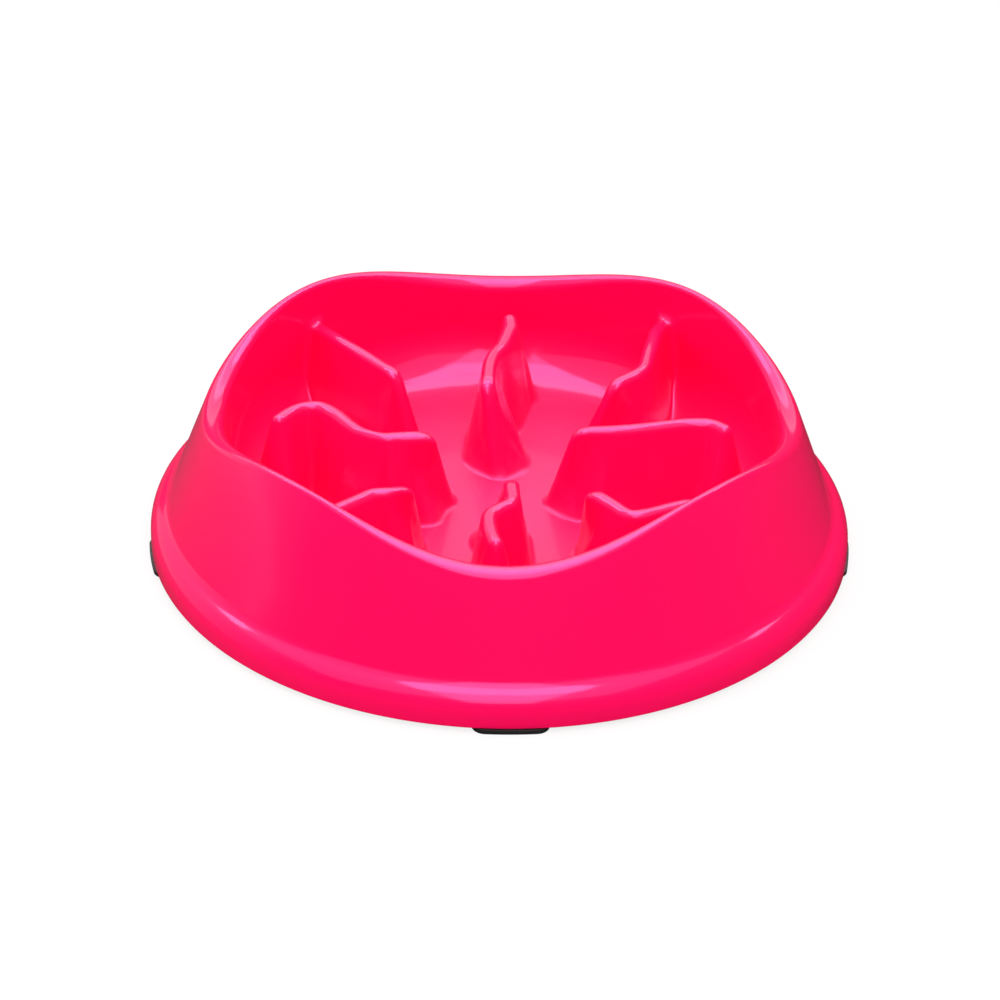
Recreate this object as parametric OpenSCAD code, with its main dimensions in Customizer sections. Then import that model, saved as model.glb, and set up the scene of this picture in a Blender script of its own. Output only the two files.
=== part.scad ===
// Slow feeder bowl: a one-piece moulded bowl on four rubber feet.
// Millimetres. Z = 0 is the ground, the bowl's axis is Z, and the front is towards -Y.
// Angles around the bowl start at the front and run anticlockwise seen from above.

/* [Bowl] */
// Width across the base bead
base_d = 240; // [200:1:300]
// Height from the ground to the peaks of the rim
overall_h = 60.5; // [56:0.5:70]
// Wall thickness of the moulding
wall = 2.6; // [2:0.1:3.2]

/* [Rim] */
// How far the dips of the rim lie below its peaks
wave_h = 12; // [6:0.5:14]
// Number of peaks around the rim
wave_count = 4; // [3:1:6]
// Thickness of plastic over the hollow behind the rim
rim_cap = 3; // [2:0.5:5]
// Least width of the hollow behind the rim
rim_gap = 1.5; // [1:0.5:3]

/* [Skirt and bead] */
// Lean of the skirt from upright, in degrees
skirt_lean = 20.5; // [16:0.5:22]
// Radius of the groove where the skirt meets the bead
groove_r = 5.5; // [3:0.5:8]
// Lean of the bead's shoulder from upright at the groove, in degrees
shoulder_lean = 62; // [50:1:70]
// Radius of the bead's shoulder
shoulder_r = 8; // [5:0.5:10]
// Height of the bead's upright face
bead_face_h = 4.8; // [3:0.2:7]
// Rounding of the bead's lower edge
bead_edge_r = 0.8; // [0.4:0.1:1]

/* [Well] */
// How far the upright wall of the well lies inside the bead's widest edge
well_inset = 26; // [25:0.5:30]
// Height of the well's floor above the ground
floor_h = 12.8; // [10:0.2:16]
// Radius between the floor and the wall
well_fillet_r = 20; // [10:0.5:24]

/* [Ridges] */
// Height of the ridges above the floor
ridge_h = 33; // [20:1:34]
// Thickness of a ridge at its crest
crest_w = 5.4; // [4:0.2:7]
// Thickness of a ridge at the floor
ridge_foot_w = 16; // [12:1:18]
// Width of the toe at a ridge's inner end, and of the heel at its outer end
toe_w = 20.5; // [16:0.5:22]
// Width of the tip in front of the toe
tip_w = 9; // [7:0.5:12]
// Distance from the middle of the tip to the middle of the toe
toe_l = 8; // [6:0.5:10]
// Extra rounding where a crest turns down at its inner end
nose_r = 4.5; // [2:0.5:5]
// Widest swing of the crest lines to either side
sway = 10; // [0:1:12]
// Distance from the bowl's axis to the tip of the ridges at front, right, back and left
near_tip = 20; // [18:0.5:22]
// Distance from the bowl's axis to the tip of the ridges between them
far_tip = 42.5; // [40:0.5:44]
// Thickness of the skin of a hollow ridge
ridge_wall = 2.1; // [1.6:0.1:2.4]

/* [Feet] */
// How far the bead's edge stands above the ground
foot_stand = 1.4; // [0.8:0.1:2.5]
// Length of a foot, end to end
foot_l = 25; // [18:1:40]
// Width of a foot
foot_w = 9; // [7:0.5:11]
// How far a foot stands out past the bead
foot_proud = 0.6; // [0:0.1:1]
// Width of the plug that holds a foot
plug_w = 4; // [3:0.5:5]
// Length of the plug
plug_l = 18; // [10:1:20]
// Height of the plug
plug_h = 3; // [2:0.5:4]
// Gap all round the plug in its socket
plug_gap = 0.1; // [0.05:0.05:0.3]
// Thickness of the seat round the socket
seat_wall = 2.4; // [1.5:0.1:3]
// How far the middle of the seat lies inside the middle of the foot
seat_back = 1.1; // [1:0.1:1.5]
// How far the set of feet is turned from the dips of the rim, in degrees
feet_turn = 1.3; // [-5:0.1:5]
// Angle from the front foot to each side foot, in degrees
side_foot_angle = 82; // [75:1:90]

/* [Hidden] */

plastic = "#ff0056";
rubber = "#1a1a1c";
round_sides = 144;
end_sides = 16;
turn_steps = 64;
overrun = 1;

// Crest lines, one list a ridge, from the inner end outwards, and the angle of each ridge's axis.
// A point is a share of the well's radius along that axis and a share of the sway to its side.
ridge_turn = 45;
crest_shares = [
    [[0.46, 0.28], [0.51, 0.31], [0.555, 0.2], [0.595, -0.22],
     [0.63, -0.45], [0.68, -0.47], [0.75, -0.4], [0.81, -0.27]],
    [[0.615, -1.08], [0.69, -1.17], [0.75, -1.2], [0.785, -0.8], [0.815, 0.1], [0.86, 0.8], [1, 1.1]],
    [[0.33, -0.45], [0.4, -0.37], [0.48, -0.25], [0.57, -0.05],
     [0.66, 0.16], [0.73, 0.2], [0.77, 0.1], [0.805, -0.2]],
    [[0.56, -0.8], [0.62, -0.83], [0.68, -0.7], [0.77, -0.15], [0.86, 0.4], [0.93, 0.8], [1, 0.95]],
    [[0.335, 0.45], [0.39, 0.42], [0.45, 0.37], [0.51, 0.24],
     [0.58, -0.05], [0.67, -0.25], [0.73, -0.37], [0.79, -0.36]],
    [[0.58, 0.24], [0.7, 0.1], [0.85, 0], [1, -0.1]],
    [[0.32, 0.92], [0.375, 1], [0.43, 1.05], [0.5, 0.75], [0.55, 0.2],
     [0.6, -0.5], [0.66, -1], [0.72, -0.95], [0.77, -0.6], [0.805, -0.1]],
    [[0.62, 0.8], [0.635, 0.55], [0.655, 0.36], [0.69, 0.25],
     [0.75, 0.22], [0.82, 0.17], [0.9, 0.15], [1, 0.2]]
];
steps_between = 2;
// Levels of a ridge: shares of its flank's height, then angles round its crown.
flank_shares = [0.062, 0.284, 0.61, 1];
crown_angles = [40, 70];
hollow_shares = [0.45, 1];
hollow_angles = [];
// Cuts across a ridge near its ends, as shares of its half thickness there, and along its toe.
end_shares = [0.05, 0.3, 0.65];
toe_shares = [0.4, 0.75];

base_r = base_d / 2;
well_r = base_r - well_inset;
crest_r = crest_w / 2;
ridge_foot_r = ridge_foot_w / 2;
toe_r = toe_w / 2;
tip_r = tip_w / 2;
crest_z = floor_h + ridge_h;
crown_z = crest_z - crest_r;

// The section of the bowl, as [radius, height]: bead shoulder, groove and skirt.
face_top = foot_stand + bead_face_h;
shoulder_at = [base_r - shoulder_r, face_top];
groove_at = shoulder_at + (shoulder_r + groove_r) * unit(shoulder_lean);
skirt_foot = groove_at - groove_r * unit(skirt_lean);
fillet_at = [well_r - well_fillet_r, floor_h + well_fillet_r];
foot_mid_r = base_r + foot_proud - foot_w / 2;

function unit(a) = [cos(a), sin(a)];
function skirt_r(z) = skirt_foot.x - (z - skirt_foot.y) * tan(skirt_lean);
function rim_z(t) = overall_h - wave_h / 2 * (1 + cos(wave_count * t));
// Radius that rounds the whole width of the rim between the well's wall and the skirt.
function rim_round(t) =
    (skirt_r(rim_z(t)) - well_r) * cos(skirt_lean) / (1 + cos(skirt_lean) - sin(skirt_lean));
function arc(centre, r, from, to, steps) =
    [for (i = [0:steps]) centre + r * unit(from + (to - from) * i / steps)];
// Height at which the hollow behind the rim narrows to a given gap.
function hollow_z(gap) =
    skirt_foot.y + (skirt_foot.x - wall / cos(skirt_lean) - well_r - wall - gap) / tan(skirt_lean);
function hollow_top(t) = min(rim_z(t) - rim_cap, hollow_z(rim_gap));
function skirt_inside(z) = [skirt_r(z) - wall / cos(skirt_lean), z];

// Half of the section at angle t: up the well, over the rim, down the skirt and back up inside.
function section(t) = let (rim_r = rim_round(t), top = rim_z(t)) concat(
    arc(fillet_at, well_fillet_r, -90, 0, 5),
    arc([well_r + rim_r, top - rim_r], rim_r, 180, skirt_lean, 6),
    arc(groove_at, groove_r, 180 + skirt_lean, 180 + shoulder_lean, 3),
    arc(shoulder_at, shoulder_r, shoulder_lean * 3 / 4, 0, 3),
    arc([base_r - bead_edge_r, foot_stand + bead_edge_r], bead_edge_r, 0, -90, 2),
    [[base_r - wall, foot_stand]],
    arc(shoulder_at, shoulder_r - wall, 0, shoulder_lean, 2),
    [groove_at - (groove_r + wall) * unit(skirt_lean)],
    [skirt_inside(hollow_top(t)), [well_r + wall, hollow_top(t)]],
    arc(fillet_at, well_fillet_r + wall, 0, -90, 3)
);

// A solid whose section changes around the axis: rings of points joined into walls.
// Every second ring is turned by half a step, so that no two facets lie in one plane.
module turned_shell() {
    count = len(section(0));
    points = [
        for (i = [0:turn_steps - 1], j = [0:count - 1])
            let (t = 360 * (i + j % 2 / 2) / turn_steps, p = section(t)[j])
                [p.x * sin(t), -p.x * cos(t), p.y]
    ];
    walls = [
        for (i = [0:turn_steps - 1], j = [0:count - 2])
            let (a = i * count + j, b = (i + 1) % turn_steps * count + j)
                each j % 2 == 0
                    ? [[a, b, a + 1], [b, b + 1, a + 1]]
                    : [[a, b, b + 1], [a, b + 1, a + 1]]
    ];
    floor_top = [for (i = [turn_steps - 1:-1:0]) i * count];
    floor_under = [for (i = [0:turn_steps - 1]) i * count + count - 1];
    polyhedron(points, concat(walls, [floor_top, floor_under]), convexity = 10);
}

// The space of the well down to the middle of its floor's and wall's thickness, where ridges may reach.
module well_core() {
    rotate_extrude($fn = turn_steps)
        polygon(concat(
            [[0, overall_h], [0, floor_h - wall / 2]],
            arc(fillet_at, well_fillet_r + wall / 2, -90, 0, 4),
            [[well_r + wall / 2, overall_h]]
        ));
}

// Smooth curve through the points of a list, in a few steps between neighbours.
function between(a, b, c, d, u) =
    (2 * b + (c - a) * u + (2 * a - 5 * b + 4 * c - d) * u * u + (3 * b - a - 3 * c + d) * u * u * u) / 2;
function smooth(p, steps) = let (last = len(p) - 1) concat(
    [for (i = [0:last - 1], k = [0:steps - 1])
        between(p[max(i - 1, 0)], p[i], p[i + 1], p[min(i + 2, last)], k / steps)],
    [p[last]]
);

// A ridge is worked out along its radius: [distance from the bowl's axis, distance aside along an arc].
// One that ends at the wall runs on through it.
function to_wall(i) = last(crest_shares[i]).x == 1;
function crest_line(i) = let (
    line = [
        for (p = smooth(crest_shares[i], steps_between))
            let (x = p.x * well_r, y = p.y * sway)
                [norm([x, y]), norm([x, y]) * atan2(y, x) * PI / 180]
    ]
) to_wall(i) ? concat(line, [[well_r + wall + overrun, last(line).y]]) : line;
function is_near(i) = i % 2 == 0;
function tip_at(i) = is_near(i) ? near_tip : far_tip;
function mix(a, b, share) = a + (b - a) * share;
function last(list) = list[len(list) - 1];

// How far the end of the crest is turned back by the nose, at height z.
function nose_back(z) = let (h = max(z - crest_z + nose_r, 0)) nose_r - sqrt(max(nose_r * nose_r - h * h, 0));

// The middle of a ridge at height z, from the tip outwards: [out, aside, half thickness].
function run_at(i, z, inset) = let (
    line = crest_line(i),
    rise = (z - floor_h) / (crown_z - floor_h),
    crown_r = max(crest_r - inset, crest_r / 8),
    crown_w = sqrt(max(crown_r * crown_r - max(z - crown_z, 0) * max(z - crown_z, 0), 0)),
    up = min(max(rise, 0), 1),
    tip_half = z > crown_z ? crown_w : mix(tip_r - inset, crown_r, rise),
    toe_half = z > crown_z ? crown_w : mix(toe_r - inset, crown_r, rise),
    body_half = z > crown_z ? crown_w : mix(ridge_foot_r - inset, crown_r, rise),
    tip = mix([tip_at(i), 0], line[0] - [nose_r, 0], up) + [nose_back(z), 0],
    toe = mix([tip_at(i) + toe_l, 0], line[steps_between], up),
    body = [for (p = line) if (p.x > toe.x + crest_r) p]
) concat(
    [[tip.x, tip.y, tip_half], [toe.x, toe.y, toe_half]],
    [for (k = [0:len(body) - 1])
        [body[k].x, body[k].y, k == len(body) - 1 && !to_wall(i) ? toe_half : body_half]]
);

// The outermost side of a ridge at a distance from the bowl's axis, on one side of its middle.
function flank_at(run, out, side) = side * max(concat(
    [for (p = run)
        let (h = p.z * p.z - (out - p.x) * (out - p.x))
            if (h > 0) side * p.y + sqrt(h)],
    [for (k = [0:len(run) - 2])
        let (
            p = [run[k].x, side * run[k].y],
            q = [run[k + 1].x, side * run[k + 1].y],
            along = (q - p) / norm(q - p),
            lean = min(max((run[k + 1].z - run[k].z) / norm(q - p), -1), 1),
            away = [-along.y, along.x] * sqrt(1 - lean * lean) - along * lean,
            from = p + run[k].z * away,
            to = q + run[k + 1].z * away
        )
            if (from.x <= out && out <= to.x && from.x < to.x)
                mix(from.y, to.y, (out - from.x) / (to.x - from.x))]
));

// Where a ridge is cut across, from its tip to its outer end. Cuts along the body keep their place.
function cuts_at(i, run) = let (
    line = crest_line(i),
    tip = run[0].x,
    body = line[0].x + toe_l,
    n = len(line)
) concat(
    [for (q = end_shares) tip + (q - 1) * run[0].z],
    [for (q = toe_shares) mix(tip, body, q)],
    [for (k = [1:n - 2]) if (line[k].x >= body + overrun) line[k].x],
    [for (k = [len(end_shares) - 1:-1:0])
        to_wall(i)
            ? mix(line[n - 1].x, line[n - 2].x, k == 0 ? 0 : end_shares[k])
            : line[n - 1].x + (1 - end_shares[k]) * last(run).z]
);

// One ridge as a solid: two flanks, a narrow top, an underside and two ends.
module ridge(i, inset, bottom_z, shares, angles) {
    crown_r = max(crest_r - inset, crest_r / 8);
    levels = concat(
        [bottom_z],
        [for (q = shares) mix(floor_h, crown_z, q)],
        [for (a = angles) crown_z + crown_r * sin(a)]
    );
    runs = [for (z = levels) run_at(i, z, inset)];
    cuts = [for (run = runs) cuts_at(i, run)];
    n = len(cuts[0]);
    top = len(levels) - 1;
    points = [
        for (j = [0:top], k = [0:n - 1], side = [-1, 1])
            let (out = cuts[j][k], turn = flank_at(runs[j], out, side) / out * 180 / PI)
                [out * cos(turn), out * sin(turn), levels[j]]
    ];
    function at(j, k, side) = (j * n + k) * 2 + side;
    flanks = [
        for (j = [0:top - 1], k = [0:n - 2])
            each concat(
                quad(at(j, k, 0), at(j + 1, k, 0), at(j + 1, k + 1, 0), at(j, k + 1, 0)),
                quad(at(j, k, 1), at(j, k + 1, 1), at(j + 1, k + 1, 1), at(j + 1, k, 1))
            )
    ];
    top_and_bottom = [
        for (k = [0:n - 2])
            each concat(
                quad(at(0, k, 0), at(0, k + 1, 0), at(0, k + 1, 1), at(0, k, 1)),
                quad(at(top, k, 0), at(top, k, 1), at(top, k + 1, 1), at(top, k + 1, 0))
            )
    ];
    ends = [
        for (j = [0:top - 1])
            each concat(
                quad(at(j, 0, 0), at(j, 0, 1), at(j + 1, 0, 1), at(j + 1, 0, 0)),
                quad(at(j, n - 1, 0), at(j + 1, n - 1, 0), at(j + 1, n - 1, 1), at(j, n - 1, 1))
            )
    ];
    rotate(ridge_turn * i - 90)
        polyhedron(points, concat(flanks, top_and_bottom, ends), convexity = 10);
}
function quad(a, b, c, d) = [[a, b, c], [a, c, d]];

// The arc-shaped plan of a foot, its plug and its socket: a strip with round ends.
module foot_strip(l, w, h) {
    half_turn = (l - w) / 2 / foot_mid_r * 180 / PI;
    rotate(-90 - half_turn)
        rotate_extrude(angle = 2 * half_turn, $fn = round_sides)
            translate([foot_mid_r - w / 2, 0])
                square([w, h]);
    for (side = [-1, 1])
        rotate(side * half_turn)
            translate([0, -foot_mid_r, 0])
                cylinder(h = h, d = w, $fn = end_sides);
}

foot_angles = [0, side_foot_angle, 180, 360 - side_foot_angle];
module on_foot(i) {
    rotate(foot_angles[i] + feet_turn)
        children();
}

// A strip with round ends in the bowl, where a foot sits.
module seat_strip(mid_r, l, w, h) {
    half_turn = (l - w) / 2 / mid_r * 180 / PI;
    hull()
        for (share = [-1:0.5:1])
            rotate(share * half_turn)
                translate([0, -mid_r, 0])
                    cylinder(h = h, d = w, $fn = end_sides);
}

// Solid seat inside the bead that the plug of a foot presses into.
module seat() {
    translate([0, 0, foot_stand])
        seat_strip(
            foot_mid_r - seat_back,
            plug_l + 2 * seat_wall,
            plug_w + 2 * seat_wall,
            plug_h + seat_wall
        );
}

module socket() {
    translate([0, 0, foot_stand - overrun])
        seat_strip(foot_mid_r, plug_l + 2 * plug_gap, plug_w + 2 * plug_gap, plug_h + plug_gap + overrun);
}

module bowl() {
    color(plastic)
        difference() {
            union() {
                turned_shell();
                intersection() {
                    for (i = [0:len(crest_shares) - 1])
                        ridge(i, 0, floor_h - wall, flank_shares, crown_angles);
                    well_core();
                }
                for (i = [0:len(foot_angles) - 1])
                    on_foot(i) seat();
            }
            for (i = [0:len(crest_shares) - 1])
                ridge(i, ridge_wall, floor_h - wall - overrun, hollow_shares, hollow_angles);
            for (i = [0:len(foot_angles) - 1])
                on_foot(i) socket();
        }
}

module foot(i) {
    color(rubber)
        on_foot(i) {
            foot_strip(foot_l, foot_w, foot_stand);
            foot_strip(plug_l, plug_w, foot_stand + plug_h);
        }
}

bowl();
foot(0);  // foot_front
foot(1);  // foot_right
foot(2);  // foot_rear
foot(3);  // foot_left
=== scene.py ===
# %% [markdown]
# # A slow feeder bowl
# A dog bowl that makes a greedy dog eat slowly: eight winding ridges stand in the well, and the
# kibble lies in the channels between them. The real bowl is one injection moulding of glossy
# polypropylene, a thin wall that is folded over the rim and down a flared skirt to a rounded bead
# on the floor. Four black rubber feet are pushed into seats under the bead.
#
# The CAD gives the true sizes. Here the bowl is made again as a finer sheet with rounded roots,
# and it gets its colour, gloss, light and camera.

# %% Load the frame
from math import atan, cos, pi, radians, sin, tan

import bmesh
import bpy
import numpy as np
from mathutils import Matrix, Vector


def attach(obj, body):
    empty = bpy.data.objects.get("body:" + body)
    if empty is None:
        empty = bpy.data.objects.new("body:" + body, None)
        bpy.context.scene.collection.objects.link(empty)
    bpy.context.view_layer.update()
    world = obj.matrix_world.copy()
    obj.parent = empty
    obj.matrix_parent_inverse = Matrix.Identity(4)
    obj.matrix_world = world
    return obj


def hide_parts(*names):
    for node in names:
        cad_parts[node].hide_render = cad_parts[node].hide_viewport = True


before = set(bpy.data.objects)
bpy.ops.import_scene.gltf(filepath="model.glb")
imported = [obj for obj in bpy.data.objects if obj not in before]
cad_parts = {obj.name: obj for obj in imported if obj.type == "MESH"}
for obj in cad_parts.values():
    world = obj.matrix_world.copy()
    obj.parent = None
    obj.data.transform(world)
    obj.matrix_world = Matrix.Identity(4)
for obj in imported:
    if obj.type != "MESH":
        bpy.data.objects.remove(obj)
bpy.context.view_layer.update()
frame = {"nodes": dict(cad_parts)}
print("CAD nodes:", ", ".join(frame["nodes"]))

# %% [markdown]
# ## Sizes
# Every size is in millimetres, as a mould maker would write it, and is the same as in the CAD,
# apart from the two small radii that round the roots of the ridges, which only this sheet has.
# Only the last step turns a point into metres. Radii end in _r, heights in _h, lengths in _l and
# widths in _w.

# %% Sizes of the bowl
MM = 0.001
base_r, overall_h, wall = 120.0, 60.5, 2.6
# The waves of the rim, how much of it is solid above the hollow, and the hollow's least width
wave_h, wave_count = 12.0, 4
rim_cap, rim_gap = 3.0, 1.5
# The skirt, the groove under it and the bead, which stands clear of the floor
skirt_lean, groove_r = radians(20.5), 5.5
shoulder_lean, shoulder_r = radians(62), 8.0
bead_face_h, bead_edge_r, foot_stand = 4.8, 0.8, 1.4
# The well
well_r, floor_h, well_fillet_r = 94.0, 12.8, 20.0
# The ridges: their thickness as radii, where their tips start, and how far they may sway
ridge_h, crest_r, ridge_foot_r, toe_r, tip_r, nose_r = 33.0, 2.7, 8.0, 10.25, 4.5, 4.5
near_tip, far_tip, toe_l, sway, ridge_wall = 20.0, 42.5, 8.0, 10.0, 2.1
root_r, wall_root_r = 1.5, 3.0
crest_z = floor_h + ridge_h
crown_z = crest_z - crest_r
print("crests at", crest_z, "mm, rim between", overall_h - wave_h, "and", overall_h, "mm")

# %% [markdown]
# ## The crest lines
# Each ridge winds in its own way. On a drawing it would be a smooth curve through a few points,
# and so it is here: a point is a share of the well's radius along the ridge's axis, and a share of
# the sway to its side. A curve through the points is made with the usual cubic between neighbours.

# %% Crest lines, from the front and turning anticlockwise seen from above
crest_shares = [
    [[0.46, 0.28], [0.51, 0.31], [0.555, 0.2], [0.595, -0.22],
     [0.63, -0.45], [0.68, -0.47], [0.75, -0.4], [0.81, -0.27]],
    [[0.615, -1.08], [0.69, -1.17], [0.75, -1.2], [0.785, -0.8],
     [0.815, 0.1], [0.86, 0.8], [1, 1.1]],
    [[0.33, -0.45], [0.4, -0.37], [0.48, -0.25], [0.57, -0.05],
     [0.66, 0.16], [0.73, 0.2], [0.77, 0.1], [0.805, -0.2]],
    [[0.56, -0.8], [0.62, -0.83], [0.68, -0.7], [0.77, -0.15],
     [0.86, 0.4], [0.93, 0.8], [1, 0.95]],
    [[0.335, 0.45], [0.39, 0.42], [0.45, 0.37], [0.51, 0.24],
     [0.58, -0.05], [0.67, -0.25], [0.73, -0.37], [0.79, -0.36]],
    [[0.58, 0.24], [0.7, 0.1], [0.85, 0], [1, -0.1]],
    [[0.32, 0.92], [0.375, 1], [0.43, 1.05], [0.5, 0.75], [0.55, 0.2],
     [0.6, -0.5], [0.66, -1], [0.72, -0.95], [0.77, -0.6], [0.805, -0.1]],
    [[0.62, 0.8], [0.635, 0.55], [0.655, 0.36], [0.69, 0.25],
     [0.75, 0.22], [0.82, 0.17], [0.9, 0.15], [1, 0.2]],
]
ridge_count = len(crest_shares)
sector = radians(360 / ridge_count)
to_wall = [shares[-1][0] == 1 for shares in crest_shares]
print("ridges that run into the wall:", sum(to_wall), "of", ridge_count)

# %% Smooth curves through the points
curve_steps = 6


def smooth_curve(points, steps):
    p, out = np.array(points, float), []
    for i in range(len(p) - 1):
        a, b, c, d = p[max(i - 1, 0)], p[i], p[i + 1], p[min(i + 2, len(p) - 1)]
        for u in np.arange(steps) / steps:
            out.append((2 * b + (c - a) * u + (2 * a - 5 * b + 4 * c - d) * u * u
                        + (3 * b - a - 3 * c + d) * u ** 3) / 2)
    return np.array(out + [p[-1]])


def crest_line(i):
    """Distance from the bowl's axis, and distance aside along an arc."""
    p = smooth_curve(crest_shares[i], curve_steps) * [well_r, sway]
    out = np.hypot(p[:, 0], p[:, 1])
    line = np.stack([out, out * np.arctan2(p[:, 1], p[:, 0])], 1)
    if to_wall[i]:
        line = np.vstack([line, [well_r + 2 * wall, line[-1, 1]]])
    return line


crests = [crest_line(i) for i in range(ridge_count)]
print("points on the crest lines:", [len(line) for line in crests])

# %% [markdown]
# ## The form of a ridge
# A ridge is drafted, so that the mould can let it go: thick at the floor, thin and round at the
# crest, and its inner end slopes far out to a round toe. At any height its outline is a band of
# even thickness round a middle line. The band is a row of discs and the straight strips that touch
# neighbouring discs, so a flank lies where the furthest disc or strip ends. Where the flank meets
# the floor, the band widens along a quarter circle, which rounds the root.

# %% Middle line and thickness of a ridge at a height
def root_flare(rise, r):
    left = np.clip(r - rise, 0, r)
    return r - np.sqrt(np.maximum(r * r - left * left, 0))


def tip_and_toe(i, z):
    """Middles of the tip and of the toe behind it at height z: out and aside."""
    up = np.clip((z - floor_h) / (crown_z - floor_h), 0, 1)
    h = np.clip(z - crest_z + nose_r, 0, nose_r)
    back = nose_r - np.sqrt(np.maximum(nose_r ** 2 - h * h, 0))
    start = near_tip if i % 2 == 0 else far_tip
    (x0, y0), (x1, y1) = crests[i][0], crests[i][curve_steps]
    tip = start + (x0 - nose_r - start) * up + back, y0 * up
    return tip, (start + toe_l + (x1 - start - toe_l) * up, y1 * up)


def half_width(z, foot, inset):
    """Half of the thickness at height z, for a ridge with this half width at its foot."""
    rise = (z - floor_h) / (crown_z - floor_h)
    crown = max(crest_r - inset, crest_r / 8)
    flank = (foot - inset) + (crown - foot + inset) * rise
    cap = np.sqrt(np.maximum(crown ** 2 - np.maximum(z - crown_z, 0) ** 2, 0))
    return np.where(z > crown_z, cap, flank)


def band(i, z, base, inset, root):
    """Middle line of a ridge and its half width: a row for each height, a column for each point."""
    tip, toe = tip_and_toe(i, z)
    flare = root_flare(z - base, root) if root else 0 * z
    line = crests[i]
    body = line[None, :, 0] > toe[0][:, None] + crest_r
    x = np.where(body, line[None, :, 0], toe[0][:, None])
    y = np.where(body, line[None, :, 1], toe[1][:, None])
    toe_w = half_width(z, toe_r, inset)
    w = np.where(body, half_width(z, ridge_foot_r, inset)[:, None], toe_w[:, None])
    if not to_wall[i]:
        w[:, -1] = toe_w
    x, y = np.column_stack([tip[0], toe[0], x]), np.column_stack([tip[1], toe[1], y])
    w = np.column_stack([half_width(z, tip_r, inset), toe_w, w]) + flare[:, None]
    return x, y, w


print("a ridge at its foot is", 2 * ridge_foot_r, "mm thick, at its crest", 2 * crest_r)

# %% Flanks and top of a ridge
nowhere, top_samples, least_rise = -1e9, 500, 0.01


def flanks(i, out, z, base, inset, root):
    """How far aside both flanks lie, at one distance from the axis and at several heights."""
    x, y, w = band(i, z, base, inset, root)
    sides = []
    for side in (-1, 1):
        h = w * w - (out - x) ** 2
        reach = np.where(h >= 0, side * y + np.sqrt(np.maximum(h, 0)), nowhere).max(1)
        dx, dy = np.diff(x, axis=1), side * np.diff(y, axis=1)
        length = np.maximum(np.hypot(dx, dy), 1e-9)
        lean = np.clip(np.diff(w, axis=1) / length, -1, 1)
        across = np.sqrt(1 - lean ** 2)
        nx, ny = (-dy * across - dx * lean) / length, (dx * across - dy * lean) / length
        x0, y0 = x[:, :-1] + w[:, :-1] * nx, side * y[:, :-1] + w[:, :-1] * ny
        x1, y1 = x[:, 1:] + w[:, 1:] * nx, side * y[:, 1:] + w[:, 1:] * ny
        runs_out = x1 - x0 > 1e-6
        share = (out - x0) / np.where(runs_out, x1 - x0, 1)
        inside = (x0 <= out) & (out <= x1) & runs_out
        reach = np.maximum(reach, np.where(inside, y0 + (y1 - y0) * share, nowhere).max(1))
        nearest = side * y[np.arange(len(y)), h.argmax(1)]
        reach = np.where(reach == nowhere, nearest, reach)
        sides.append(side * reach)
    return sides


def ridge_top(i, out, base, inset, root):
    """Greatest height of a ridge at a distance from the axis, or None where there is no ridge."""
    z = np.linspace(base, crest_z - inset, top_samples)
    flare = root_flare(z - base, root) if root else 0 * z
    first = tip_and_toe(i, z)[0][0] - half_width(z, tip_r, inset) - flare
    if out <= first[0]:
        return None
    top = np.interp(out, np.maximum.accumulate(first), z)
    if not to_wall[i]:
        last = crests[i][-1, 0] + half_width(z, toe_r, inset) + flare
        if out >= last[0]:
            return None
        top = min(top, np.interp(-out, -np.minimum.accumulate(last), z))
    return top if top > base + least_rise else None


for i in range(ridge_count):
    tops = [ridge_top(i, out, floor_h, 0, root_r) for out in range(10, 90, 10)]
    print("ridge", i, "tops:", [None if top is None else round(float(top), 1) for top in tops])

# %% [markdown]
# ## The section of the bowl
# Apart from its ridges and the wave of its rim, the bowl is turned about its axis like a pot. Its
# section is drawn from arcs: floor, fillet, upright wall, a full round over the rim, the leaning
# skirt, a hollow groove and the convex shoulder of the bead.

# %% Heights and radii of the section
shoulder_at = (base_r - shoulder_r, foot_stand + bead_face_h)
groove_at = (shoulder_at[0] + (shoulder_r + groove_r) * cos(shoulder_lean),
             shoulder_at[1] + (shoulder_r + groove_r) * sin(shoulder_lean))
skirt_foot = (groove_at[0] - groove_r * cos(skirt_lean), groove_at[1] - groove_r * sin(skirt_lean))
fillet_at = (well_r - well_fillet_r, floor_h + well_fillet_r)


def skirt_at(z):
    return skirt_foot[0] - (z - skirt_foot[1]) * tan(skirt_lean)


def rim_height(turn):
    return overall_h - wave_h / 2 * (1 + cos(wave_count * turn))


def rim_round(turn):
    """Radius of the arc that touches both the well's wall and the skirt."""
    room = skirt_at(rim_height(turn)) - well_r
    return room * cos(skirt_lean) / (1 + cos(skirt_lean) - sin(skirt_lean))


def hollow_top(turn):
    gap = skirt_foot[0] - wall / cos(skirt_lean) - well_r - wall - rim_gap
    return min(rim_height(turn) - rim_cap, skirt_foot[1] + gap / tan(skirt_lean))


print("radius of the rim's round:", [round(rim_round(t), 2) for t in (0, pi / wave_count)], "mm")

# %% Points of the section
roof_w, roof_h = 0.5, 0.4


def arc(centre, r, start, end, steps):
    a = np.linspace(start, end, steps + 1)
    return [(centre[0] + r * cos(v), centre[1] + r * sin(v)) for v in a]


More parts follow.
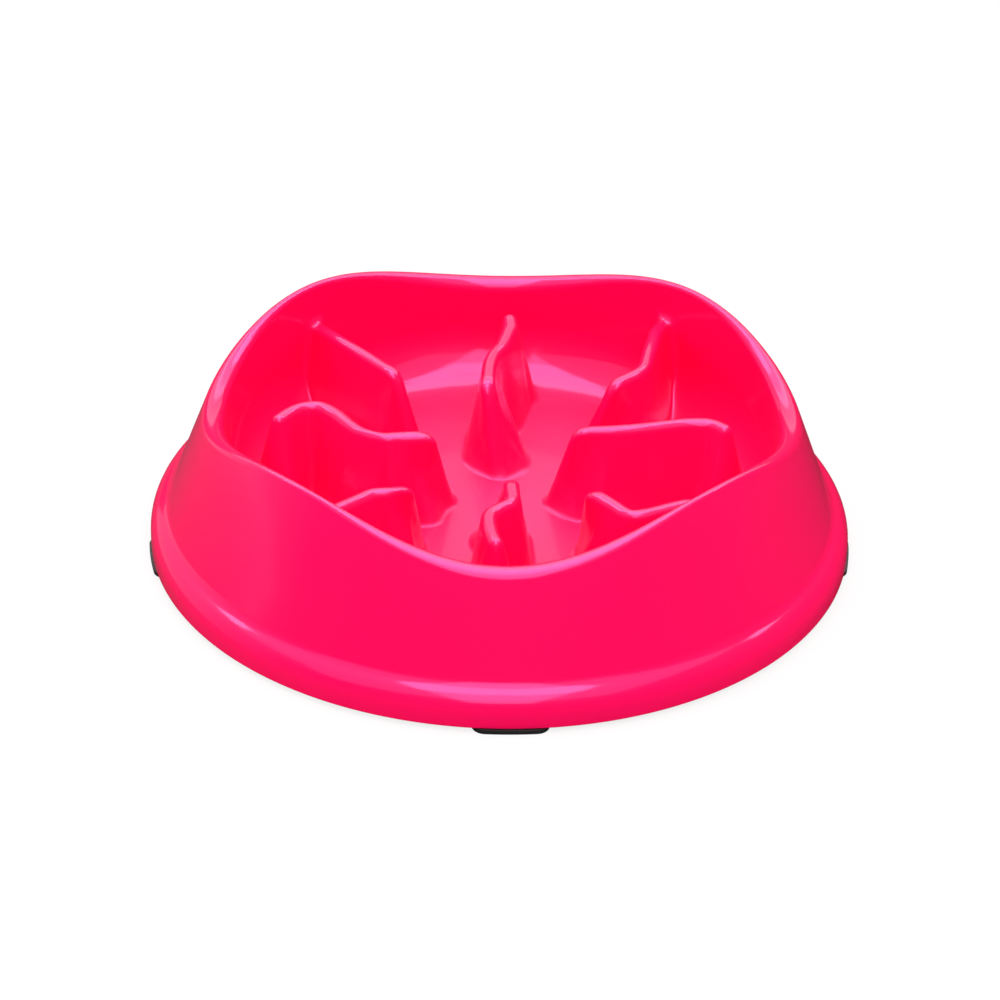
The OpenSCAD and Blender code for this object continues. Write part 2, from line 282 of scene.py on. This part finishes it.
def outside(turn):
    """From the start of the rim's round, over it and down to the bead's edge, then up inside."""
    r, top = rim_round(turn), rim_height(turn)
    rim = arc((well_r + r, top - r), r, pi, skirt_lean, steps=14)
    x0, z0 = rim[-1]
    skirt = [(x0 + (skirt_foot[0] - x0) * s, z0 + (skirt_foot[1] - z0) * s)
             for s in (0.25, 0.5, 0.75)]
    groove = arc(groove_at, groove_r, pi + skirt_lean, pi + shoulder_lean, steps=7)
    shoulder = arc(shoulder_at, shoulder_r, shoulder_lean, 0, steps=9)[1:]
    edge_at = (base_r - bead_edge_r, foot_stand + bead_edge_r)
    edge = arc(edge_at, bead_edge_r, 0, -pi / 2, steps=4)
    inner = [(base_r - wall, foot_stand), (base_r - wall, foot_stand + bead_face_h)]
    inner += arc(shoulder_at, shoulder_r - wall, 0, shoulder_lean, steps=5)[1:]
    inner += arc(groove_at, groove_r + wall, pi + shoulder_lean, pi + skirt_lean, steps=3)[1:]
    # The hollow's roof has small bevels where it meets the skirt and the wall
    top_in, z1 = hollow_top(turn), inner[-1][1]
    lean_in = [(skirt_at(z) - wall / cos(skirt_lean), z)
               for z in (z1 + (top_in - z1) * 0.5, top_in - roof_h)]
    roof = [(lean_in[-1][0] - roof_w, top_in), (well_r + wall + roof_w, top_in),
            (well_r + wall, top_in - roof_h)]
    return rim + skirt + groove + shoulder + edge + inner + lean_in + roof


print("section from the rim outwards:", len(outside(0)), "points")

# %% [markdown]
# ## One sheet for the whole bowl
# A moulding is one skin that never stops, and that is how it is modelled: a flat grid, 256 squares
# round and a few hundred from pole to pole, is laid over the shape. Its rows run out over the
# floor, up the wall, over the rim, down the skirt, in under the bead and back to the middle below.
# Its columns are drawn together where a ridge stands, so that they follow its root, flanks and
# crown. Cutting ridges out with booleans would leave slivers that show in a gloss like this.

# %% Rings of the well
# They crowd where the tips of the ridges, near or far, come out of the floor
near_start, far_start = near_tip - tip_r - root_r, far_tip - tip_r - root_r
near = [near_start + v for v in (0.08, 0.35, 0.8, 1.4, 2.2, 3.2, 4.4)]
far = [far_start + v for v in (0.08, 0.35, 0.8, 1.4, 2.2, 3.2)]
ring_gap = 1.4
rings = [0.0, 2.5, 5.0, 7.5, 10.0, 12.0, 13.2]
rings += near + list(np.arange(19.8, 36.0, ring_gap))
rings += far + list(np.arange(41.2, fillet_at[0] - 0.7, ring_gap)) + [fillet_at[0]]
fillet_turns = [radians(a) for a in [*np.arange(2.2, 60, 2.2), *np.arange(60, 90.1, 2.5)]]
print(len(rings) + len(fillet_turns), "rings in the well")

# %% Columns of a sector: some for the ridge, the rest for the gap to the next one
columns, ridge_columns = 32, 27
gap_shares = (0.07, 0.25, 0.5, 0.75, 0.93)
around = ridge_count * columns
levels_up = (ridge_columns + 1) // 2
root_levels, crown_levels = 5, 5


def levels(base, top, root, crown):
    """Heights up a flank: close together in the root and under the crown."""
    squeeze = min(1, (top - base) / (root + crown))
    root, crown = root * squeeze, crown * squeeze
    low = base + root * (1 - np.cos(np.linspace(0, pi / 2, root_levels)))
    middle_levels = levels_up - root_levels - crown_levels + 1
    mid = np.linspace(base + root, top - crown, middle_levels)[1:-1]
    high = top - crown * (np.arange(crown_levels, -1, -1) / crown_levels) ** 2
    return np.concatenate([low, mid, high])


def even_turn(column):
    return radians((column - (ridge_columns - 1) / 2) * 360 / ridge_count / columns)


def easing(share):
    share = min(max(share, 0), 1)
    return share * share * (3 - 2 * share)


print(around, "columns, with", levels_up, "levels from the floor to a crown")

# %% Turns and heights of the points on a ring
bundle_w, bundle_turn, hub_r, heel_l, least_crown = 3.0, radians(12), 13, 6, 0.4


def idle_columns(i, out, limit):
    """Where a ring misses the ridge, the ridge's columns run on in a narrow bundle.

    The bundle fans out in the hub of the well, and again from the ridge's heel to the wall.
    """
    start, end = crests[i][0], crests[i][-1]
    before = out < start[0]
    middle = 0 if before else end[1] / out
    half = min(bundle_w / max(out, 1), bundle_turn)
    even = even_turn(ridge_columns - 1)
    share = 0 if before else easing((out - end[0] - heel_l) / (limit - end[0] - heel_l))
    half, middle = half + (even - half) * share, middle * (1 - share)
    if out < hub_r:
        half = even + (half - even) * out / hub_r
    return np.linspace(middle - half, middle + half, ridge_columns)


def busy_columns(i, out, base, top, inset, root, limit):
    """Up one flank, over the crown and down the other, with a rounded corner at the wall."""
    z = levels(base, top, root, max(crest_r - inset, least_crown))
    low, high = flanks(i, out, z, base, inset, root)
    if to_wall[i] and root:
        corner = root_flare(limit - out, wall_root_r)
        low, high = low - corner, high + corner
        z = z + corner * (z - base) / (top - base)
    low[-1] = high[-1] = (low[-1] + high[-1]) / 2
    return np.concatenate([low, high[-2::-1]]) / out, np.concatenate([z, z[-2::-1]])


def ring_points(out, base, inset, root, limit):
    """Turn and height of every column on one ring of the well or of its underside."""
    turns, heights = np.zeros(around), np.full(around, base)
    for i in range(ridge_count):
        top = ridge_top(i, out, base, inset, root)
        if top is None:
            spread, z = idle_columns(i, out, limit), np.full(ridge_columns, base)
        else:
            spread, z = busy_columns(i, out, base, top, inset, root, limit)
        first = i * columns
        turns[first:first + ridge_columns] = spread + sector * i
        heights[first:first + ridge_columns] = z
    for i in range(ridge_count):
        first, after = i * columns + ridge_columns - 1, ((i + 1) * columns) % around
        gap = turns[after] + (2 * pi if after == 0 else 0) - turns[first]
        for k, share in enumerate(gap_shares):
            turns[first + k + 1] = turns[first] + gap * share
    return turns, heights


sample = ring_points(60.0, floor_h, 0, root_r, well_r)
print("60 mm out, the points lie", sample[1].min(), "to", round(sample[1].max(), 1), "mm high")

# %% Rows of the sheet, from the middle of the floor to the middle of the underside
wall_steps, inner_steps, spread_speed = 20, 4, 1.1


def well_rows(inset):
    """Rows over the floor and up to where the wall is upright: radius, turn and height."""
    r_fillet, root = well_fillet_r + inset, 0 if inset else root_r
    skin, limit = ridge_wall if inset else 0, well_r + inset
    places = [(out, floor_h - inset) for out in rings]
    places += [(fillet_at[0] + r_fillet * sin(a), fillet_at[1] - r_fillet * cos(a))
               for a in fillet_turns]
    return [(np.full(around, out), *ring_points(out, base, skin, root, limit))
            for out, base in places]


def wall_rows(last, r, top_of, steps):
    """Rows up an upright wall, where the columns spread out evenly a little before the top."""
    rows = []
    even = np.array([even_turn(c % columns) + sector * (c // columns) for c in range(around)])
    for k in range(1, steps + 1):
        share = k / steps
        turns = last[1] + (even - last[1]) * easing(share * spread_speed)
        tops = np.array([top_of(t) for t in turns])
        rows.append((np.full(around, r), turns, last[2] + (tops - last[2]) * share))
    return rows


def turned_rows(turns):
    """Rows over the rim and down the skirt: every column has the section at its own turn."""
    sections = np.array([outside(t) for t in turns])
    return [(sections[:, j, 0], turns, sections[:, j, 1]) for j in range(sections.shape[1])]


top_rows = well_rows(0)
up_rows = wall_rows(top_rows[-1], well_r, lambda t: rim_height(t) - rim_round(t), wall_steps)
out_rows = turned_rows(up_rows[-1][1])
under_rows = well_rows(wall)
down_rows = wall_rows(under_rows[-1], well_r + wall, lambda t: hollow_top(t) - roof_h, inner_steps)
sheet = top_rows + up_rows + out_rows[1:] + down_rows[-2::-1] + under_rows[::-1]
print(len(sheet), "rows of", around, "points")

# %% A bmesh becomes an object
def object_from(bm, name):
    mesh = bpy.data.meshes.new(name)
    bm.to_mesh(mesh)
    bm.free()
    piece = bpy.data.objects.new(name, mesh)
    bpy.context.scene.collection.objects.link(piece)
    for face in mesh.polygons:
        face.use_smooth = True
    print(name, "has", len(mesh.polygons), "faces")
    return piece


# %% Lay a grid over the rows and weld it
weld = 0.004 * MM
bm = bmesh.new()
bmesh.ops.create_grid(bm, x_segments=around, y_segments=len(sheet) - 1, size=1)
for v in bm.verts:
    column = round((v.co.x + 1) / 2 * around) % around
    row = round((v.co.y + 1) / 2 * (len(sheet) - 1))
    r, turn, z = (part[column] for part in sheet[row])
    v.co = Vector((r * sin(turn), -r * cos(turn), z)) * MM
bmesh.ops.remove_doubles(bm, verts=bm.verts, dist=weld)
bmesh.ops.recalc_face_normals(bm, faces=bm.faces)
print("open edges:", sum(not e.is_manifold for e in bm.edges))
bowl = object_from(bm, "bowl_shell")

# %% [markdown]
# ## Seats for the feet
# Under the bead, a solid block carries each foot's plug. It only shows from below, as a short
# curved bar inside the bead. It could be cut from a ring, but it is quicker to bend: a small
# upright rectangle is swept round the bowl's axis, and a disc closes each end.

# %% Foot seats
feet_turn, side_foot_angle = 1.3, 82
foot_turns = [radians(a + feet_turn) for a in (0, side_foot_angle, 180, 360 - side_foot_angle)]
foot_w, foot_proud, seat_back, seat_wall = 9.0, 0.6, 1.1, 2.4
plug_l, plug_w, plug_h = 18.0, 4.0, 3.0
seat_l, seat_w, seat_h = plug_l + 2 * seat_wall, plug_w + 2 * seat_wall, plug_h + seat_wall
seat_mid = base_r + foot_proud - foot_w / 2 - seat_back
seat_lift = foot_stand + 0.02  # a hair above the foot, so that their faces don't fight
half_seat = (seat_l - seat_w) / 2 / seat_mid


def turned(bm, verts, angle):
    matrix = Matrix.Rotation(angle, 3, "Z")
    bmesh.ops.rotate(bm, verts=verts, cent=(0, 0, 0), matrix=matrix)


bm = bmesh.new()
for turn in foot_turns:
    x0, x1 = seat_mid - seat_w / 2, seat_mid + seat_w / 2
    corners = [bm.verts.new((x, 0, z))
               for x, z in ((x0, 0), (x1, 0), (x1, seat_h), (x0, seat_h))]
    side = bm.faces.new(corners)
    bmesh.ops.spin(bm, geom=[side] + list(side.edges) + corners, angle=2 * half_seat, steps=6,
                   axis=(0, 0, 1), cent=(0, 0, 0))
    # The seats that are finished carry a tag, so what has none is the new bar
    turned(bm, [v for v in bm.verts if not v.tag], turn - half_seat - pi / 2)
    for end in (-1, 1):
        disc = bmesh.ops.create_cone(bm, cap_ends=True, segments=24, radius1=seat_w / 2,
                                     radius2=seat_w / 2, depth=seat_h)["verts"]
        bmesh.ops.translate(bm, verts=disc, vec=(0, -seat_mid, seat_h / 2))
        turned(bm, disc, turn + end * half_seat)
    for v in bm.verts:
        v.tag = True
bmesh.ops.translate(bm, verts=bm.verts, vec=(0, 0, seat_lift))
bmesh.ops.scale(bm, verts=bm.verts, vec=(MM, MM, MM))
# A spin stores its faces in a new order at each run, so they are sorted along a slanting line
slant = Vector((1, 17, 331))
bm.faces.sort(key=lambda face: face.calc_center_median().dot(slant))
bmesh.ops.recalc_face_normals(bm, faces=bm.faces)
seats = object_from(bm, "foot_seats")
for face in seats.data.polygons:
    face.use_smooth = False

# %% [markdown]
# ## Materials
# A colour is written as an sRGB hex value, as a colour picker shows it, and one function turns it
# to the linear light that the shader wants. A second small function adds a shader node.

# %% Helpers for materials
def colour(hex_value):
    parts = [int(hex_value[k:k + 2], 16) / 255 for k in (1, 3, 5)]
    return [c / 12.92 if c <= 0.04045 else ((c + 0.055) / 1.055) ** 2.4 for c in parts] + [1.0]


def add_node(tree, kind, values=None, links=None, **settings):
    made = tree.nodes.new(kind)
    for key, value in settings.items():
        setattr(made, key, value)
    for key, value in (values or {}).items():
        made.inputs[key].default_value = value
    for key, source in (links or {}).items():
        tree.links.new(source, made.inputs[key])
    return made


def new_material(name):
    material = bpy.data.materials.new(name)
    material.use_nodes = True
    material.node_tree.nodes.clear()
    return material, material.node_tree


print("the bowl's deeper pink in linear light:", [round(c, 4) for c in colour("#ff0052")])

# %% [markdown]
# **Injection-moulded polypropylene.** The mould was polished, so the plastic comes out glossy,
# with a soft-edged mirror image of the lamps. Up close the skin is not quite even: it has shrunk a
# little over thick places, in waves some centimetres long, and the polish has a very fine grain.
# The pigment is a deep hot pink that glows in the well, where light bounces from pink to pink.

# %% Hot pink moulded polypropylene: pigment, sink marks and polish
pink, tree = new_material("moulded_polypropylene_hot_pink")
sink_mark_l, polish_grain_w = 45 * MM, 0.9 * MM
place = add_node(tree, "ShaderNodeTexCoord")
waves = add_node(tree, "ShaderNodeTexNoise",
                 {"Scale": 1 / sink_mark_l, "Detail": 1.0, "Roughness": 0.4},
                 {"Vector": place.outputs["Object"]})
grain = add_node(tree, "ShaderNodeTexNoise",
                 {"Scale": 1 / polish_grain_w, "Detail": 2.0, "Roughness": 0.6},
                 {"Vector": place.outputs["Object"]})
tint = add_node(tree, "ShaderNodeMix", {6: colour("#ff0052"), 7: colour("#ff0058")},
                {0: waves.outputs["Fac"]}, data_type="RGBA")
gloss = add_node(tree, "ShaderNodeMapRange",
                 {"From Min": 0.3, "From Max": 0.7, "To Min": 0.09, "To Max": 0.12},
                 {"Value": grain.outputs["Fac"]})
sink = add_node(tree, "ShaderNodeBump", {"Strength": 0.05, "Distance": 0.4 * MM},
                {"Height": waves.outputs["Fac"]})
polish = add_node(tree, "ShaderNodeBump", {"Strength": 0.03, "Distance": 0.02 * MM},
                  {"Height": grain.outputs["Fac"], "Normal": sink.outputs["Normal"]})
print(pink.name, "has waves of", sink_mark_l / MM, "mm and a grain of", polish_grain_w / MM, "mm")

# %% [markdown]
# **Gloss and haze.** Polypropylene is partly crystalline, so a polished moulding of it has two
# kinds of shine at once: a clear mirror image, and a milky haze round it. Two shaders that differ
# only in roughness are mixed for that. The sloping walls of a mould are polished along the way it
# opens, while its flat bottom between eight deep slots is hard to reach, so the floor of the well
# is hazier. The highlights of this pigment look lilac, which the specular tint gives.

# %% Hot pink moulded polypropylene: gloss and haze
resin = {"IOR": 1.5, "Specular IOR Level": 0.65, "Specular Tint": (1.0, 0.35, 1.0, 1.0)}
haze_share, floor_haze = 0.22, 0.55
flat = add_node(tree, "ShaderNodeVectorMath", {1: (1, 1, 0)}, {0: place.outputs["Object"]},
                operation="MULTIPLY")
reach = add_node(tree, "ShaderNodeVectorMath", links={0: flat.outputs["Vector"]},
                 operation="LENGTH")
above = add_node(tree, "ShaderNodeSeparateXYZ", links={"Vector": place.outputs["Object"]})
in_well = add_node(tree, "ShaderNodeMapRange",
                   {"From Min": 74 * MM, "From Max": 92 * MM, "To Min": 1, "To Max": 0},
                   {"Value": reach.outputs["Value"]})
on_floor = add_node(tree, "ShaderNodeMapRange",
                    {"From Min": 13.5 * MM, "From Max": 18 * MM, "To Min": floor_haze,
                     "To Max": 0},
                    {"Value": above.outputs["Z"]})
veil = add_node(tree, "ShaderNodeMath", {2: haze_share},
                {0: in_well.outputs["Result"], 1: on_floor.outputs["Result"]},
                operation="MULTIPLY_ADD")
skin = add_node(tree, "ShaderNodeBsdfPrincipled", resin,
                {"Base Color": tint.outputs[2], "Roughness": gloss.outputs["Result"],
                 "Normal": polish.outputs["Normal"]})
haze = add_node(tree, "ShaderNodeBsdfPrincipled", {**resin, "Roughness": 0.5},
                {"Base Color": tint.outputs[2], "Normal": sink.outputs["Normal"]})
both = add_node(tree, "ShaderNodeMixShader",
                links={0: veil.outputs["Value"], 1: skin.outputs["BSDF"],
                       2: haze.outputs["BSDF"]})
add_node(tree, "ShaderNodeOutputMaterial", links={"Surface": both.outputs["Shader"]})
print(pink.name, "has", len(tree.nodes), "nodes")

# %% [markdown]
# **Thermoplastic rubber.** The feet are matt black with a fine spark-eroded grain, which spreads
# the light so widely that only a grey sheen is left on their edges. A little dust clings to them
# in patches, which makes the black uneven.

# %% Black rubber for the feet
rubber, tree = new_material("moulded_rubber_black")
spark_grain_w, dust_patch_l = 0.5 * MM, 7 * MM
place = add_node(tree, "ShaderNodeTexCoord")
grain = add_node(tree, "ShaderNodeTexNoise", {"Scale": 1 / spark_grain_w, "Detail": 3.0},
                 {"Vector": place.outputs["Object"]})
dust = add_node(tree, "ShaderNodeTexNoise", {"Scale": 1 / dust_patch_l, "Detail": 2.0},
                {"Vector": place.outputs["Object"]})
tint = add_node(tree, "ShaderNodeMix", {6: colour("#131315"), 7: colour("#1f1f21")},
                {0: dust.outputs["Fac"]}, data_type="RGBA")
matt = add_node(tree, "ShaderNodeMapRange", {"To Min": 0.5, "To Max": 0.72},
                {"Value": grain.outputs["Fac"]})
pits = add_node(tree, "ShaderNodeBump", {"Strength": 0.4, "Distance": 0.05 * MM},
                {"Height": grain.outputs["Fac"]})
skin = add_node(tree, "ShaderNodeBsdfPrincipled", {"IOR": 1.52},
                {"Base Color": tint.outputs[2], "Roughness": matt.outputs["Result"],
                 "Normal": pits.outputs["Normal"]})
add_node(tree, "ShaderNodeOutputMaterial", links={"Surface": skin.outputs["BSDF"]})
print(rubber.name, "has", len(tree.nodes), "nodes")

# %% [markdown]
# ## Dressing the frame
# The sheet takes the place of the CAD's bowl, and the seats ride with it. The CAD's feet have the
# right shape already, so they stay and only get their rubber.

# %% Dress the pieces
for piece in (bowl, seats):
    piece.data.materials.append(pink)
    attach(piece, "root")
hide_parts("bowl")
for name in ("foot_front", "foot_right", "foot_rear", "foot_left"):
    foot = frame["nodes"][name]
    for slot in foot.material_slots:
        slot.material = rubber
print("dressed the bowl and its feet")

# %% [markdown]
# ## Floor
# The photograph is a catalogue picture on pure white. The floor shows white to the camera and
# still keeps a soft shadow: four fifths of what the camera sees of it is plain white light, and
# the rest is paper that the lamps light. A glossy skirt would mirror a white floor, but in the
# photograph it mirrors hardly any. So a glossy ray finds grey paper that darkens from left to
# right. The floor lies a tenth of a millimetre below the feet, and its underside is clear, so that
# the bowl can be looked at from below.

# %% Studio floor
floor_half, floor_drop = 4, 0.1 * MM
bm = bmesh.new()
bmesh.ops.create_grid(bm, x_segments=1, y_segments=1, size=floor_half)
bmesh.ops.translate(bm, verts=bm.verts, vec=(0, 0, -floor_drop))
floor = object_from(bm, "studio_floor")

# %% White studio paper
paper, tree = new_material("white_studio_paper")
seen = add_node(tree, "ShaderNodeLightPath")
place = add_node(tree, "ShaderNodeTexCoord")
across = add_node(tree, "ShaderNodeSeparateXYZ", links={"Vector": place.outputs["Object"]})
shade = add_node(tree, "ShaderNodeMapRange",
                 {"From Min": -0.9, "From Max": 0.1, "To Min": 0.4, "To Max": 0.02},
                 {"Value": across.outputs["X"]}, interpolation_type="SMOOTHSTEP")
mirrored = add_node(tree, "ShaderNodeMix", {6: colour("#cccccc")},
                    {0: seen.outputs["Is Glossy Ray"], 7: shade.outputs["Result"]},
                    data_type="RGBA")
clean = add_node(tree, "ShaderNodeMix", {7: colour("#f0f0f0")},
                 {0: seen.outputs["Is Camera Ray"], 6: mirrored.outputs[2]}, data_type="RGBA")
lit = add_node(tree, "ShaderNodeBsdfDiffuse", links={"Color": clean.outputs[2]})
shown = add_node(tree, "ShaderNodeEmission", {"Color": colour("#ffffff"), "Strength": 1.0})
white_share = add_node(tree, "ShaderNodeMath", {1: 0.8}, {0: seen.outputs["Is Camera Ray"]},
                       operation="MULTIPLY")
both = add_node(tree, "ShaderNodeMixShader",
                links={0: white_share.outputs["Value"], 1: lit.outputs["BSDF"],
                       2: shown.outputs["Emission"]})
side_seen = add_node(tree, "ShaderNodeNewGeometry")
clear = add_node(tree, "ShaderNodeBsdfTransparent")
one_sided = add_node(tree, "ShaderNodeMixShader",
                     links={0: side_seen.outputs["Backfacing"], 1: both.outputs["Shader"],
                            2: clear.outputs["BSDF"]})
add_node(tree, "ShaderNodeOutputMaterial", links={"Surface": one_sided.outputs["Shader"]})
floor.data.materials.append(paper)
print(paper.name, "has", len(tree.nodes), "nodes")

# %% [markdown]
# ## World and lamps
# The world is a soft white room. Glossy rays find it nearly dark, because the highlights of the
# photograph have clear edges and so come from lamps and not from the room.
#
# A glossy thing is lit by what it mirrors, so the lamps are told apart. Some show in the gloss
# only: a row of strips overhead draws the light lines on the rim, the crests and the bead and the
# bright patch behind the rear ridge, and a card behind the bowl lays a veil on the floor of the
# well. Others give light only and are not mirrored: they fill the front and the sides. The
# ceiling does both. Brightness 1 is that of white paper.

# %% World
room_light, room_in_gloss = 0.45, 0.03
world = bpy.data.worlds.new("white_studio")
bpy.context.scene.world = world
world.use_nodes = True
tree = world.node_tree
tree.nodes.clear()
seen = add_node(tree, "ShaderNodeLightPath")
dim = add_node(tree, "ShaderNodeMapRange", {"To Min": room_light, "To Max": room_in_gloss},
               {"Value": seen.outputs["Is Glossy Ray"]})
strength = add_node(tree, "ShaderNodeMix", {3: 1.0},
                    {0: seen.outputs["Is Camera Ray"], 2: dim.outputs["Result"]})
sky = add_node(tree, "ShaderNodeBackground", {"Color": colour("#ffffff")},
               {"Strength": strength.outputs[0]})
add_node(tree, "ShaderNodeOutputWorld", links={"Surface": sky.outputs["Background"]})
print(world.name, "gives", room_light, "of white to matt surfaces")

# %% Lamps: name, place, what it faces, width and depth, brightness, and where it works
lamp_rows = [
    ("overhead_strip", (0, -0.1, 1.1), (0, -0.1, 0), (0.7, 0.8), 7.0, "gloss"),
    ("wide_strip", (0, 0.44, 1.1), (0, 0.44, 0), (2.4, 0.28), 7.0, "gloss"),
    ("rear_overhead", (0, 0.99, 1.1), (0, 0.99, 0), (2.4, 0.82), 2.2, "gloss"),
    ("overhead_strip_tail", (0, -1.2, 1.1), (0, -1.2, 0), (0.66, 1.4), 3.8, "gloss"),
    ("rear_card", (0, 1.6, 1.1), (0, 0, 0), (2.6, 1.1), 1.5, "gloss"),
    ("ceiling", (-0.4, 0, 1.3), (-0.4, 0, 0), (3, 3), 1.1, "both"),
    ("front_fill", (0.3, -1.0, 1.1), (0, 0, 0.03), (1.2, 1.0), 1.6, "light"),
    ("side_fill", (-1.1, -0.1, 0.5), (0, 0, 0.03), (1, 0.8), 1.3, "light"),
    ("side_fill", (1.1, -0.1, 0.5), (0, 0, 0.03), (1, 0.8), 0.8, "light"),
]
for name, place, target, size, brightness, works in lamp_rows:
    data = bpy.data.lights.new(name, "AREA")
    data.shape, data.size, data.size_y = "RECTANGLE", *size
    data.energy = brightness * pi * size[0] * size[1]
    item = bpy.data.objects.new(name, data)
    bpy.context.scene.collection.objects.link(item)
    item.location = place
    facing = Vector(target) - Vector(place)
    item.rotation_euler = facing.to_track_quat("-Z", "Y").to_euler()
    item.visible_diffuse, item.visible_glossy = works != "gloss", works != "light"
print("lamps:", [row[0] for row in lamp_rows])

# %% [markdown]
# The left flank of the skirt mirrors something white that fades towards the front. A lamp is even
# all over, so this one is a card: an upright sheet that glows more at its rear end. It shows in
# the gloss and nowhere else.

# %% Side card, bright at the back and fading towards the front
card_half, card_at = (1.1, 0.5, 1), (-1.2, 0.5, 0.5)
bm = bmesh.new()
bmesh.ops.create_grid(bm, x_segments=1, y_segments=1, size=1)
bmesh.ops.scale(bm, verts=bm.verts, vec=card_half)
for axis in ("X", "Z"):
    bmesh.ops.rotate(bm, verts=bm.verts, cent=(0, 0, 0), matrix=Matrix.Rotation(pi / 2, 3, axis))
bmesh.ops.translate(bm, verts=bm.verts, vec=card_at)
card = object_from(bm, "side_card")
white, tree = new_material("white_card")
place = add_node(tree, "ShaderNodeTexCoord")
along = add_node(tree, "ShaderNodeSeparateXYZ", links={"Vector": place.outputs["Object"]})
fade = add_node(tree, "ShaderNodeMapRange", {"From Min": -0.6, "From Max": 0.5, "To Max": 0.8},
                {"Value": along.outputs["Y"]}, interpolation_type="SMOOTHSTEP")
glow = add_node(tree, "ShaderNodeEmission", {"Color": colour("#ffffff")},
                {"Strength": fade.outputs["Result"]})
add_node(tree, "ShaderNodeOutputMaterial", links={"Surface": glow.outputs["Emission"]})
card.data.materials.append(white)
card.visible_camera = card.visible_diffuse = card.visible_shadow = False
print("the card stands", -card_at[0], "m to the left")

# %% [markdown]
# ## Camera
# The camera was found by fitting the bead and the rim to the photograph. It looks down by 32
# degrees from more than a metre away through a long lens. The bowl's centre is a little below the
# middle of the picture, and the camera is only turned towards it by that much, without a shift.

# %% Camera, matched to the photograph
turn, tilt, roll = radians(1.182), radians(31.861), radians(1.318)
frame_px, focal_px, centre_px = 1000, 3586.35, (500.10, 530.41)
distance, sensor_w = 10.3427 * base_r * MM, 36
ahead = Vector((sin(turn) * cos(tilt), cos(turn) * cos(tilt), -sin(tilt)))
right = Vector((cos(turn), -sin(turn), 0))
down = -right.cross(ahead)
aim = Matrix((right, down, ahead))
a, b = (atan((centre - frame_px / 2) / focal_px) for centre in centre_px)
pan = Matrix(((cos(a), 0, sin(a)), (0, 1, 0), (-sin(a), 0, cos(a))))
nod = Matrix(((1, 0, 0), (0, cos(b), sin(b)), (0, -sin(b), cos(b))))
cant = Matrix(((cos(roll), -sin(roll), 0), (sin(roll), cos(roll), 0), (0, 0, 1)))
rows = cant @ nod @ pan @ aim
data = bpy.data.cameras.new("catalogue_camera")
data.sensor_width, data.lens = sensor_w, focal_px / frame_px * sensor_w
camera = bpy.data.objects.new("catalogue_camera", data)
stand = Matrix.Translation(Vector((0, 0, foot_stand * MM)) - ahead * distance)
camera.matrix_world = stand @ Matrix((rows[0], -rows[1], -rows[2])).transposed().to_4x4()
bpy.context.scene.collection.objects.link(camera)
bpy.context.scene.camera = camera
bpy.context.scene.view_settings.view_transform = "Standard"
print("camera", round(data.lens, 1), "mm lens,", round(distance, 3), "m away")
